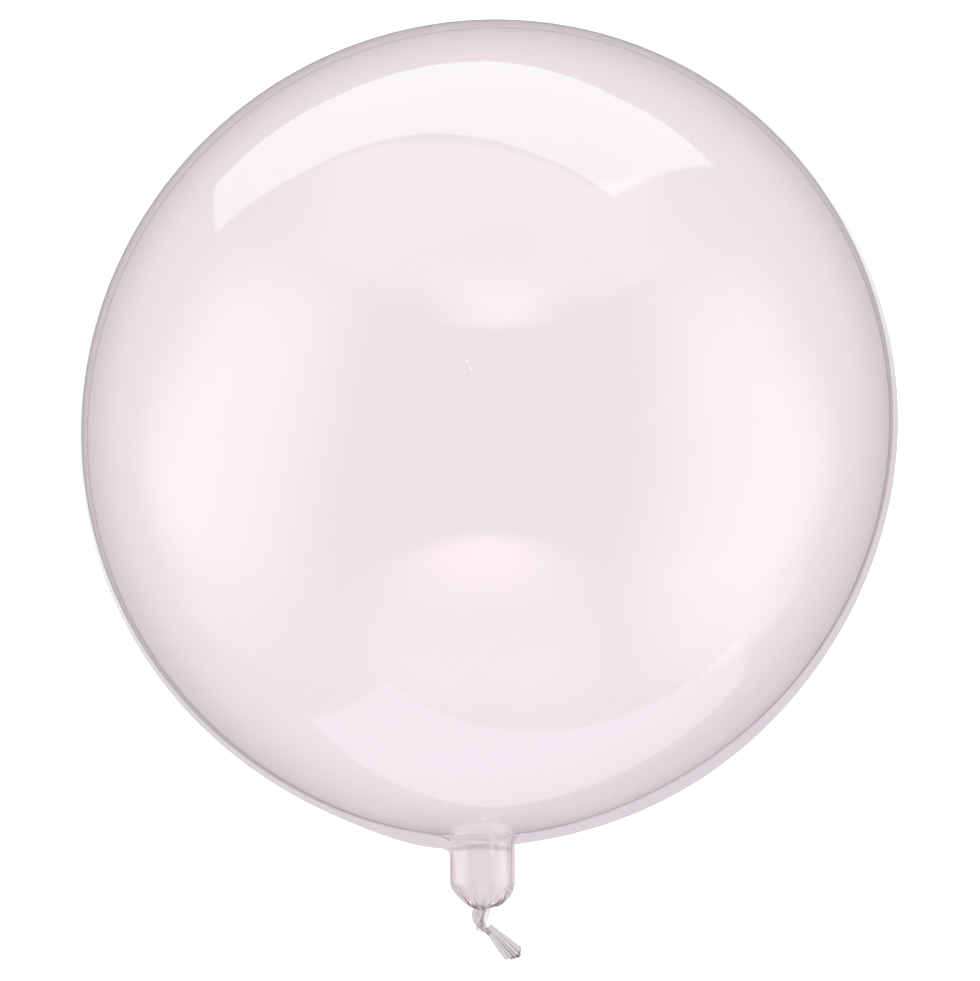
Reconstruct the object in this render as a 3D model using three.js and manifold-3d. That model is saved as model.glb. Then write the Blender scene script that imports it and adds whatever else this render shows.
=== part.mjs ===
// Clear bubble balloon, blown up and tied off. Two round sheets of stretch film are welded together round
// their rim, which leaves a thin lip, and drawn out into a neck that is knotted in its own film, with a cut
// tail. It lies on the floor on a small flat spot, with the weld level and the neck towards -Y.
// Millimetres, +Z up, origin at the middle of the flat spot. The sealed envelope is one piece and one solid.

import * as THREE from 'three';
import { mergeVertices } from 'three/addons/utils/BufferGeometryUtils.js';
import Module from 'manifold-3d';

// Globe
const GLOBE_DIAMETER = 400;
const GLOBE_SKEW = 0.01; // share by which it is longer along the +X +Y diagonal and shorter along the other
const REST_SPOT_DIAMETER = 60;
const WELD_VALLEY_DEPTH = 3.3; // how far the weld pulls the film in
const WELD_VALLEY_REACH = 10; // height over which the film comes back out, to a third of that depth

// Lip of the weld, two sheets thick and pressed flat
const LIP_WIDTH = 6.3;
const LIP_THICKNESS = 0.6;

// Film drawn out towards the neck
const NECK_PULL = 4.9;
const NECK_PULL_ANGLE = 18; // degrees round the globe within which most of the pull is felt

// Neck, a tube with a narrow lip down each side
const NECK_OFFSET = -3; // of its middle line, along X
const NECK_WIDTH = 30;
const NECK_DEPTH = 27;
const COLLAR_LENGTH = 6.5; // from the weld to where the straight neck starts
const NECK_LENGTH = 16.7;
const ROOT_FILLET = 4;
const LEFT_LIP_WIDTH = 0.8;
const RIGHT_LIP_WIDTH = 1.5;
const LIP_FLARE = 5; // radius of the corner between the side lips and the globe's lip

// Pouch, where the neck is gathered to the waist
const POUCH_LENGTH = 12.8;
const POUCH_LEFT_FULLNESS = 1.2; // 1 tapers straight, 2 is a quarter circle
const POUCH_RIGHT_FULLNESS = 1.8;
const POUCH_LIP_WIDTH = 1.6;
const GATHER_COUNT = 9;
const GATHER_DEPTH = 0.1; // share of the waist's radius
const WAIST_WIDTH = 8;

// Knot
const KNOT_LENGTH = 12.5;
const KNOT_WIDTH = 9;
const KNOT_DEPTH = 9;
const BUNDLE_DIAMETER = 5.4;
const WRAP_WIDTH = 3.6;
const WRAP_THICKNESS = 1.8;
const KNOT_OFFSET = -0.5; // of its middle from the neck's middle line, along X

// Tail, the cut end of the film in pleats
const TAIL_TURN = 46; // degrees from the neck's line towards +X
const TAIL_LENGTH = 19.2;
const TAIL_END_BULGE = 4; // how much longer it is in the middle than at its edges
const TAIL_ROOT_WIDTH = 4.4;
const TAIL_WIDTH = 10.8;
const TAIL_THICKNESS = 1.6;
const PLEAT_COUNT = 3;
const PLEAT_HEIGHT = 1.1;

// Fineness of the facets
const GLOBE_SEGMENTS = 80;
const SHEET_STEPS = 20;
const SHEET_CROWDING = 1.4; // above 1, the rings stand closer together towards the weld
const NECK_SEGMENTS = 36;
const FILLET_STEPS = 3;
const POUCH_STEPS = 6;
const BUNDLE_SEGMENTS = 10;
const BUNDLE_STEPS = 12;
const WRAP_STEPS = 20;
const TAIL_SEGMENTS = 30;
const TAIL_STEPS = 5;

// Sizes that follow from those above
const GLOBE_RADIUS = GLOBE_DIAMETER / 2;
const REST_SPOT_RADIUS = REST_SPOT_DIAMETER / 2;
const MID_HEIGHT = Math.sqrt(GLOBE_RADIUS ** 2 - REST_SPOT_RADIUS ** 2);
const WELD_REACH = GLOBE_RADIUS - WELD_VALLEY_DEPTH;
const NECK_ROOT = -(WELD_REACH + NECK_PULL);
const NECK_TOP = NECK_ROOT - COLLAR_LENGTH;
const POUCH_TOP = NECK_TOP - NECK_LENGTH;
const WAIST = POUCH_TOP - POUCH_LENGTH;
const WAIST_RADIUS = WAIST_WIDTH / 2;
const BUNDLE_RADIUS = BUNDLE_DIAMETER / 2;

const SAME_PLACE = 1e-4; // corners closer together than this are one

const solids = await Module();
solids.setup();

// A closed solid from a geometry: shared corners are merged, and triangles shrunk to a line at a pole go.
function toSolid(geometry) {
  const bare = geometry.index ? geometry.clone() : mergeVertices(geometry);
  bare.deleteAttribute('normal');
  bare.deleteAttribute('uv');
  const merged = mergeVertices(bare, SAME_PLACE);
  const corners = merged.index.array;
  const kept = [];
  for (let i = 0; i < corners.length; i += 3) {
    const [a, b, c] = corners.slice(i, i + 3);
    if (a !== b && b !== c && c !== a) kept.push(a, b, c);
  }
  return new solids.Manifold(
    new solids.Mesh({
      numProp: 3,
      vertProperties: new Float32Array(merged.attributes.position.array),
      triVerts: new Uint32Array(kept),
    }),
  );
}

function toGeometry(solid) {
  const mesh = solid.getMesh();
  const geometry = new THREE.BufferGeometry();
  geometry.setAttribute('position', new THREE.BufferAttribute(new Float32Array(mesh.vertProperties), 3));
  geometry.setIndex(new THREE.BufferAttribute(new Uint32Array(mesh.triVerts), 1));
  geometry.computeVertexNormals();
  return geometry;
}

// Moves each corner of a geometry to where place(corner) puts it.
function reshape(geometry, place) {
  const position = geometry.attributes.position;
  const corner = new THREE.Vector3();
  for (let i = 0; i < position.count; i += 1) {
    corner.fromBufferAttribute(position, i);
    place(corner);
    position.setXYZ(i, corner.x, corner.y, corner.z);
  }
  return geometry;
}

// A closed tube: place() puts each corner from its ring's value, its share of the radius and its angle.
function unitTube(segments, rings, place) {
  const steps = rings.length - 1;
  return reshape(new THREE.CylinderGeometry(1, 1, 1, segments, steps), (corner) => {
    const ring = rings[Math.round((0.5 - corner.y) * steps)];
    place(corner, ring, Math.hypot(corner.x, corner.z), Math.atan2(corner.z, corner.x));
  });
}

// How much of its width is left at share u of a taper: 1 at its start and 0 at its end.
function taper(u, fullness) {
  return (1 - u ** fullness) ** (1 / fullness);
}

// Half section of the globe and its lip, from the middle of the rest spot round to the crown.
function globeProfile() {
  const lowest = -Math.asin(MID_HEIGHT / GLOBE_RADIUS);
  const lipHalf = LIP_THICKNESS / 2;
  const lipElevation = Math.asin(lipHalf / WELD_REACH);
  const sheet = (elevation) => {
    const fromWeld = Math.abs(elevation) * GLOBE_RADIUS;
    const reach = GLOBE_RADIUS - WELD_VALLEY_DEPTH * Math.exp(-fromWeld / WELD_VALLEY_REACH);
    return new THREE.Vector2(reach * Math.cos(elevation), MID_HEIGHT + reach * Math.sin(elevation));
  };
  const spread = (start, step) => {
    const lip = lipElevation * Math.sign(start);
    return lip + (start - lip) * (1 - step / SHEET_STEPS) ** SHEET_CROWDING;
  };
  const points = [new THREE.Vector2(0, 0)];
  for (let step = 0; step <= SHEET_STEPS; step += 1) points.push(sheet(spread(lowest, step)));
  points[1].set(REST_SPOT_RADIUS, 0);
  points.push(new THREE.Vector2(WELD_REACH + LIP_WIDTH, MID_HEIGHT - lipHalf));
  points.push(new THREE.Vector2(WELD_REACH + LIP_WIDTH, MID_HEIGHT + lipHalf));
  for (let step = SHEET_STEPS; step >= 0; step -= 1) points.push(sheet(spread(Math.PI / 2, step)));
  points[points.length - 1].setX(0);
  return points;
}

// The blown-up globe with its lip, a little out of round and drawn out towards the neck.
function makeGlobe() {
  const lathe = new THREE.LatheGeometry(globeProfile(), GLOBE_SEGMENTS);
  lathe.rotateX(Math.PI / 2);
  const towardsNeck = new THREE.Vector3(NECK_OFFSET, -GLOBE_RADIUS, 0);
  const middle = new THREE.Vector3(0, 0, MID_HEIGHT);
  const reach = new THREE.Vector3();
  return toSolid(reshape(lathe, (corner) => {
    const angle = reach.copy(corner).sub(middle).angleTo(towardsNeck);
    const pull = NECK_PULL * Math.exp(-((THREE.MathUtils.radToDeg(angle) / NECK_PULL_ANGLE) ** 2) / 2);
    const skew = 1 + GLOBE_SKEW * Math.sin(2 * Math.atan2(corner.y, corner.x));
    corner.set(corner.x * skew, corner.y * skew - pull, corner.z);
  }));
}

// How far a round inner corner stands out, at a distance before its end.
function roundCorner(radius, before) {
  const inside = Math.min(Math.max(before, 0), radius);
  return radius - Math.sqrt(radius ** 2 - inside ** 2);
}

// How far the neck's tube reaches to its left, right and front at height y, with its fillet and pouch.
function neckReach(y) {
  const fillet = roundCorner(ROOT_FILLET, y - (NECK_ROOT - ROOT_FILLET));
  const gathered = Math.min(Math.max((POUCH_TOP - y) / POUCH_LENGTH, 0), 1);
  const half = (full, fullness) => (
    WAIST_RADIUS + (full / 2 - WAIST_RADIUS) * taper(gathered, fullness) + fillet
  );
  return {
    gathered,
    left: half(NECK_WIDTH, POUCH_LEFT_FULLNESS),
    right: half(NECK_WIDTH, POUCH_RIGHT_FULLNESS),
    front: half(NECK_DEPTH, (POUCH_LEFT_FULLNESS + POUCH_RIGHT_FULLNESS) / 2),
  };
}

// Heights of the neck's rings: in the globe, round the fillet, down the straight stretch and round the pouch.
function neckRings() {
  const rings = [NECK_ROOT + 2 * ROOT_FILLET];
  for (let i = 0; i <= FILLET_STEPS; i += 1) rings.push(NECK_ROOT - (ROOT_FILLET * i) / FILLET_STEPS);
  rings.push((NECK_TOP + POUCH_TOP) / 2);
  for (let i = 0; i <= POUCH_STEPS; i += 1) {
    rings.push(POUCH_TOP - POUCH_LENGTH * Math.sin((Math.PI / 2) * (i / POUCH_STEPS)));
  }
  rings.push(WAIST - BUNDLE_RADIUS);
  return rings;
}

// The neck's tube with its gathered pouch.
function makeNeck() {
  return toSolid(unitTube(NECK_SEGMENTS, neckRings(), (corner, y, share, angle) => {
    const reach = neckReach(y);
    const side = Math.cos(angle) < 0 ? reach.left : reach.right;
    const gather = 1 + GATHER_DEPTH * reach.gathered ** 2 * Math.cos(GATHER_COUNT * angle);
    corner.set(
      NECK_OFFSET + share * side * gather * Math.cos(angle),
      y,
      MID_HEIGHT + share * reach.front * gather * Math.sin(angle),
    );
  }));
}

// The flat lip down both sides of the neck and the pouch, with a rounded corner at the globe's lip.
function makeNeckLip() {
  const edge = (lipWidth, side) => neckRings().map((y) => {
    const reach = neckReach(y);
    const corner = roundCorner(LIP_FLARE, y - (NECK_ROOT - LIP_WIDTH - LIP_FLARE));
    const widened = lipWidth + (POUCH_LIP_WIDTH - lipWidth) * Math.sin(Math.PI * reach.gathered);
    const lip = widened * (1 - reach.gathered ** 4);
    const tube = side < 0 ? reach.left : reach.right;
    return new THREE.Vector2(NECK_OFFSET + side * (tube + lip + corner), y);
  });
  const outline = new THREE.Shape([...edge(LEFT_LIP_WIDTH, -1), ...edge(RIGHT_LIP_WIDTH, 1).reverse()]);
  const plate = new THREE.ExtrudeGeometry(outline, { depth: LIP_THICKNESS, bevelEnabled: false });
  plate.translate(0, 0, MID_HEIGHT - LIP_THICKNESS / 2);
  return toSolid(plate);
}

// A point in the knot, from shares of its half width, its length and its half depth.
function knotPoint(across, down, deep) {
  return new THREE.Vector3(
    NECK_OFFSET + KNOT_OFFSET + (across * KNOT_WIDTH) / 2,
    WAIST - down * KNOT_LENGTH,
    MID_HEIGHT + (deep * KNOT_DEPTH) / 2,
  );
}

function oval(width, thickness) {
  const shape = new THREE.Shape();
  shape.absellipse(0, 0, width / 2, thickness / 2, 0, 2 * Math.PI);
  return new THREE.Shape(shape.getSpacedPoints(BUNDLE_SEGMENTS).slice(0, BUNDLE_SEGMENTS));
}

function tubeAlong(curve, section, steps) {
  return toSolid(new THREE.ExtrudeGeometry(section, { steps, extrudePath: curve, bevelEnabled: false }));
}

// The knot: the bundled film swings out to the left and back under, and a flat turn of it crosses in front.
function makeKnot() {
  const bundle = new THREE.CatmullRomCurve3([
    knotPoint(0, -0.2, 0),
    knotPoint(-0.28, 0.1, 0.05),
    knotPoint(-0.38, 0.38, -0.1),
    knotPoint(0.04, 0.68, -0.2),
    knotPoint(0.64, 0.9, -0.1),
    knotPoint(1.2, 1.12, 0),
  ]);
  const wrap = new THREE.CatmullRomCurve3([
    knotPoint(0.62, 0.02, 0.1),
    knotPoint(0.52, 0.3, 0.68),
    knotPoint(0.3, 0.6, 0.7),
    knotPoint(0.08, 0.84, 0.1),
    knotPoint(-0.2, 0.66, -0.68),
    knotPoint(0.1, 0.3, -0.72),
  ], true);
  return tubeAlong(bundle, oval(BUNDLE_DIAMETER, BUNDLE_DIAMETER), BUNDLE_STEPS)
    .add(tubeAlong(wrap, oval(WRAP_THICKNESS, WRAP_WIDTH), WRAP_STEPS));
}

// The cut tail: a flat pleated fan that widens away from the knot, with its end rounded out.
function makeTail() {
  const turn = THREE.MathUtils.degToRad(TAIL_TURN);
  const along = new THREE.Vector3(Math.sin(turn), -Math.cos(turn), 0);
  const across = new THREE.Vector3(Math.cos(turn), Math.sin(turn), 0);
  const root = knotPoint(0.86, 0.92, 0);
  const rings = Array.from({ length: TAIL_STEPS + 1 }, (_, i) => i / TAIL_STEPS);
  const fan = unitTube(TAIL_SEGMENTS, rings, (corner, down, share, angle) => {
    const sideways = share * Math.cos(angle);
    const half = (TAIL_ROOT_WIDTH + (TAIL_WIDTH - TAIL_ROOT_WIDTH) * down) / 2;
    const length = TAIL_LENGTH - TAIL_END_BULGE * sideways ** 2;
    const pleat = PLEAT_HEIGHT * down * Math.cos(PLEAT_COUNT * Math.PI * sideways);
    const lift = pleat + (share * TAIL_THICKNESS * Math.sin(angle)) / 2;
    corner.copy(root).addScaledVector(along, down * length).addScaledVector(across, sideways * half);
    corner.z += lift;
  });
  return toSolid(fan);
}

const envelope = makeGlobe().add(makeNeck()).add(makeNeckLip()).add(makeKnot()).add(makeTail());

const film = new THREE.MeshStandardMaterial({
  color: new THREE.Color(0.93, 0.85, 0.89),
  roughness: 0.08,
  metalness: 0,
  transparent: true,
  opacity: 0.35,
});

const balloonEnvelope = new THREE.Mesh(toGeometry(envelope), film);
balloonEnvelope.name = 'balloon_envelope';

const balloon = new THREE.Group();
balloon.name = 'clear_bubble_balloon';
balloon.add(balloonEnvelope);

export default balloon;
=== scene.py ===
"""Clear bubble balloon in thin stretch film, lying on a pale floor and seen from above.

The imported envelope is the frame. Its globe, neck and pouch are one hollow skin of film, and the lip of the
weld, the knot and the cut tail are closed meshes in the same film. All lengths are in metres.
"""

import logging
import math
from dataclasses import dataclass, field, replace
from enum import Enum

import bpy
import numpy as np
from mathutils import Matrix, Vector


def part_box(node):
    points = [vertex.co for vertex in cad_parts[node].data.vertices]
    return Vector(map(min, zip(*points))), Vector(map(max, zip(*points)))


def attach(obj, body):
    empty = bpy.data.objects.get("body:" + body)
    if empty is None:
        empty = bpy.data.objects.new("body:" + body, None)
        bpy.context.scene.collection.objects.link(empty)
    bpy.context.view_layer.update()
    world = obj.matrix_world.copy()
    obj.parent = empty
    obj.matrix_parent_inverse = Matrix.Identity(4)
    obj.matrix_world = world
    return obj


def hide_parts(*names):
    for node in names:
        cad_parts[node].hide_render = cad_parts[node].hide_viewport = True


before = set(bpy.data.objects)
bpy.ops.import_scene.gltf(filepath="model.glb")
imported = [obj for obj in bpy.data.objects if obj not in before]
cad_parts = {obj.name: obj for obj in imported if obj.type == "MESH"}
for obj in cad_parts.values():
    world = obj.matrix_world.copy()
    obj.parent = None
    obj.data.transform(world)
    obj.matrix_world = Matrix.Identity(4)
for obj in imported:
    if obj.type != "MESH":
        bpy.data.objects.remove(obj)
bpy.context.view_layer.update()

NODE = "balloon_envelope"
BODY = "root"
IMAGE_SIZE = (980, 981)
SENSOR_WIDTH_MM = 36.0
SHORTEST = 1e-12
NUMBER_SOCKET = "NodeSocketFloat"
WHITE = (1.0, 1.0, 1.0, 1.0)
QUARTER_TURN = math.pi / 2
NECK_BEARING = -90.0

log = logging.getLogger("balloon")

Array = np.ndarray


# Mesh helpers


@dataclass
class Surface:
    """A closed skin of points, four-sided faces and triangles.

    Attributes:
        points: Places of the corners, one row each.
        quads: Four corner numbers for each four-sided face.
        triangles: Three corner numbers for each triangle.
        marks: Named values from nought to one at each corner, which the finish reads.
    """

    points: Array
    quads: Array
    triangles: Array
    marks: dict[str, Array] = field(default_factory=dict)

    def flipped(self) -> "Surface":
        """Returns the same skin with its faces turned the other way."""
        return Surface(self.points, self.quads[:, ::-1], self.triangles[:, ::-1], self.marks)

    def outward(self) -> "Surface":
        """Returns the skin with its faces outwards, by the sign of the volume that they shut in."""
        corners = np.vstack([self.quads[:, :3], self.quads[:, [0, 2, 3]], self.triangles])
        a, b, c = (self.points[corners[:, i]] for i in range(3))
        volume = np.einsum("ij,ij->i", a, np.cross(b, c)).sum()
        return self if volume > 0 else self.flipped()

    def joined(self, other: "Surface") -> "Surface":
        """Returns one surface that holds this one and another with the same marks.

        Args:
            other: The surface whose corners follow this one's.

        Returns:
            A surface with both sets of corners and faces.
        """
        start = len(self.points)
        return Surface(
            np.vstack([self.points, other.points]),
            np.vstack([self.quads, other.quads + start]),
            np.vstack([self.triangles, other.triangles + start]),
            {name: np.concatenate([values, other.marks[name]]) for name, values in self.marks.items()},
        )


def tube_surface(rings: Array, start: Array, end: Array, marks: dict[str, Array] | None = None) -> Surface:
    """Closes rings of points into a tube with a point at each end.

    Neighbouring rings are joined by four-sided faces that wrap round each ring, and each end ring is closed
    by a fan of triangles to its end point. Faces point outwards when the rings turn counter-clockwise seen
    from the end.

    Args:
        rings: Array of rings by ring corners by three.
        start: Point that closes the first ring.
        end: Point that closes the last ring.
        marks: Named values for each ring corner. The end points take their rings' means.

    Returns:
        The closed surface.
    """
    count, around = rings.shape[:2]
    ring, corner = np.meshgrid(np.arange(count - 1), np.arange(around), indexing="ij")
    following = (corner + 1) % around
    quads = np.stack(
        [ring * around + corner, ring * around + following, (ring + 1) * around + following,
         (ring + 1) * around + corner],
        axis=-1,
    ).reshape(-1, 4)
    first = np.arange(around)
    second = (first + 1) % around
    start_index = count * around
    last = (count - 1) * around
    fans = np.vstack([
        np.stack([second, first, np.full(around, start_index)], axis=-1),
        np.stack([last + first, last + second, np.full(around, start_index + 1)], axis=-1),
    ])
    points = np.vstack([rings.reshape(-1, 3), start, end])
    values = {
        name: np.concatenate([value.ravel(), [value[0].mean(), value[-1].mean()]])
        for name, value in (marks or {}).items()
    }
    return Surface(points, quads, fans, values)


def make_piece(
    name: str,
    surface: Surface,
    materials: tuple[bpy.types.Material, ...],
    second_from: int | None = None,
) -> bpy.types.Object:
    """Puts a surface into a smooth-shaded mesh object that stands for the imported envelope.

    Args:
        name: Name of the piece.
        surface: Its corners, faces and marks.
        materials: Its finish, and the finish of its second layer if it has one.
        second_from: Number of the first corner of the second layer.

    Returns:
        The linked object, riding on the part's body.
    """
    sizes = np.concatenate([np.full(len(surface.quads), 4), np.full(len(surface.triangles), 3)])
    corners = np.concatenate([surface.quads.ravel(), surface.triangles.ravel()])
    starts = np.concatenate([[0], np.cumsum(sizes)[:-1]])
    mesh = bpy.data.meshes.new(name)
    mesh.vertices.add(len(surface.points))
    mesh.vertices.foreach_set("co", surface.points.astype(np.float32).ravel())
    mesh.loops.add(len(corners))
    mesh.loops.foreach_set("vertex_index", corners.astype(np.int32))
    mesh.polygons.add(len(sizes))
    mesh.polygons.foreach_set("loop_start", starts.astype(np.int32))
    mesh.polygons.foreach_set("use_smooth", np.ones(len(sizes), dtype=bool))
    for material in materials:
        mesh.materials.append(material)
    if second_from is not None:
        mesh.polygons.foreach_set("material_index", (corners[starts] >= second_from).astype(np.int32))
    for mark, values in surface.marks.items():
        layer = mesh.attributes.new(mark, "FLOAT", "POINT")
        layer.data.foreach_set("value", values.astype(np.float32))
    mesh.update(calc_edges=True)
    mesh.validate()
    piece = bpy.data.objects.new(name, mesh)
    bpy.context.scene.collection.objects.link(piece)
    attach(piece, BODY)
    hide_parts(NODE)
    log.info("%s: %d faces", name, len(sizes))
    return piece


def unit(vectors: Array) -> Array:
    """The same directions at length one."""
    return vectors / np.maximum(np.linalg.norm(vectors, axis=-1, keepdims=True), SHORTEST)


def grid_normals(rings: Array) -> Array:
    """Outward normals of a grid that wraps round its rings.

    Each normal is the cross product of the steps to the neighbours round the ring and along the tube.

    Args:
        rings: Array of rings by ring corners by three, as tube_surface takes it.

    Returns:
        Unit normals of the same shape.
    """
    around = np.roll(rings, -1, axis=1) - np.roll(rings, 1, axis=1)
    along = np.gradient(rings, axis=0)
    return unit(np.cross(around, along))


def ease(value: Array) -> Array:
    """Smooth step from nought to one: three times the square less twice the cube of the clipped value."""
    value = np.clip(value, 0.0, 1.0)
    return value * value * (3.0 - 2.0 * value)


def bell(value: Array) -> Array:
    """Bell curve that is one at nought and falls to three fifths at one."""
    return np.exp(-0.5 * value**2)


def taper(share: Array, fullness: float) -> Array:
    """Width left at a share of a taper, from one to nought: straight for a fullness of one, else bulging."""
    return (1.0 - np.clip(share, 0.0, 1.0) ** fullness) ** (1.0 / fullness)


@dataclass(frozen=True)
class Wave:
    """A sine wave: its height times the sine of its rate times a value plus its phase."""

    height: float
    rate: float
    phase: float = 0.0

    def at(self, value: Array) -> Array:
        """The wave at each value."""
        return self.height * np.sin(self.rate * value + self.phase)


def waves_at(waves: tuple[Wave, ...], value: Array) -> Array:
    """Sum of several waves at each value."""
    return sum(wave.at(value) for wave in waves)


@dataclass(frozen=True)
class Bulge:
    """A bell curve with a height, a middle and a spread."""

    height: float
    middle: float
    spread: float

    def at(self, value: Array) -> Array:
        """The bulge at each value."""
        return self.height * bell((value - self.middle) / self.spread)


# The envelope


@dataclass(frozen=True)
class EnvelopeForm:
    """Sizes of the blown-up envelope that its pieces share.

    The globe's radius and the height of its middle come from the frame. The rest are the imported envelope's
    own, but for the weld's valley, which the thin film shows shallower than the solid does. The lip, the
    neck's pull and the collar are shorter to match, so that the outline stays.
    """

    radius: float
    middle: float
    rest_radius: float = 0.030
    skew: float = 0.010
    valley_depth: float = 0.0010
    valley_reach: float = 0.006
    lip_width: float = 0.0040
    pull: float = 0.0036
    pull_angle: float = math.radians(18)
    offset: float = -0.003
    neck_width: float = 0.030
    neck_depth: float = 0.027
    collar: float = 0.0055
    neck_length: float = 0.0167
    pouch_length: float = 0.0128
    left_fullness: float = 1.2
    right_fullness: float = 1.8
    waist_width: float = 0.008

    @classmethod
    def from_frame(cls) -> "EnvelopeForm":
        """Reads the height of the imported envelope, which sets the globe's radius and its middle."""
        low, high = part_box(NODE)
        height = high.z - low.z
        radius = (height**2 + cls.rest_radius**2) / (2 * height)
        return cls(radius=radius, middle=low.z + math.sqrt(radius**2 - cls.rest_radius**2))

    @property
    def root(self) -> float:
        """Height along Y at which the weld meets the neck."""
        return -(self.radius - self.valley_depth + self.pull)

    @property
    def neck_top(self) -> float:
        """Height along Y at which the straight neck starts."""
        return self.root - self.collar

    @property
    def pouch_top(self) -> float:
        """Height along Y at which the pouch starts."""
        return self.neck_top - self.neck_length

    @property
    def waist(self) -> float:
        """Height along Y of the gathered waist."""
        return self.pouch_top - self.pouch_length

    def valley(self, above_weld: Array) -> Array:
        """How far the weld pulls the film in: most at the weld, falling off exponentially on both sides."""
        return self.valley_depth * np.exp(-np.abs(above_weld) / self.valley_reach)

    def globe_point(self, direction: Array) -> Array:
        """Place of the globe's film in a direction from its middle.

        The film lies at the radius less the weld's valley. It is longer along one diagonal by the skew times
        the sine of twice the bearing, drawn out along -Y near the neck by a bell curve of the angle to the
        neck, shifted to the neck's offset by the same curve, and flat where it rests on the floor.

        Args:
            direction: Unit directions, last axis x, y, z.

        Returns:
            Places of the same shape.
        """
        elevation = np.arcsin(np.clip(direction[..., 2], -1.0, 1.0))
        reach = self.radius - self.valley(elevation * self.radius)
        bearing = np.arctan2(direction[..., 1], direction[..., 0])
        stretch = 1.0 + self.skew * np.sin(2.0 * bearing)
        neck = np.array([self.offset, -self.radius, 0.0]) / math.hypot(self.offset, self.radius)
        angle = np.arccos(np.clip(direction @ neck, -1.0, 1.0))
        near = bell(angle / self.pull_angle)
        return np.stack(
            [
                direction[..., 0] * reach * stretch + self.offset * near,
                direction[..., 1] * reach * stretch - self.pull * near,
                np.maximum(self.middle + direction[..., 2] * reach, 0.0),
            ],
            axis=-1,
        )


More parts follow.
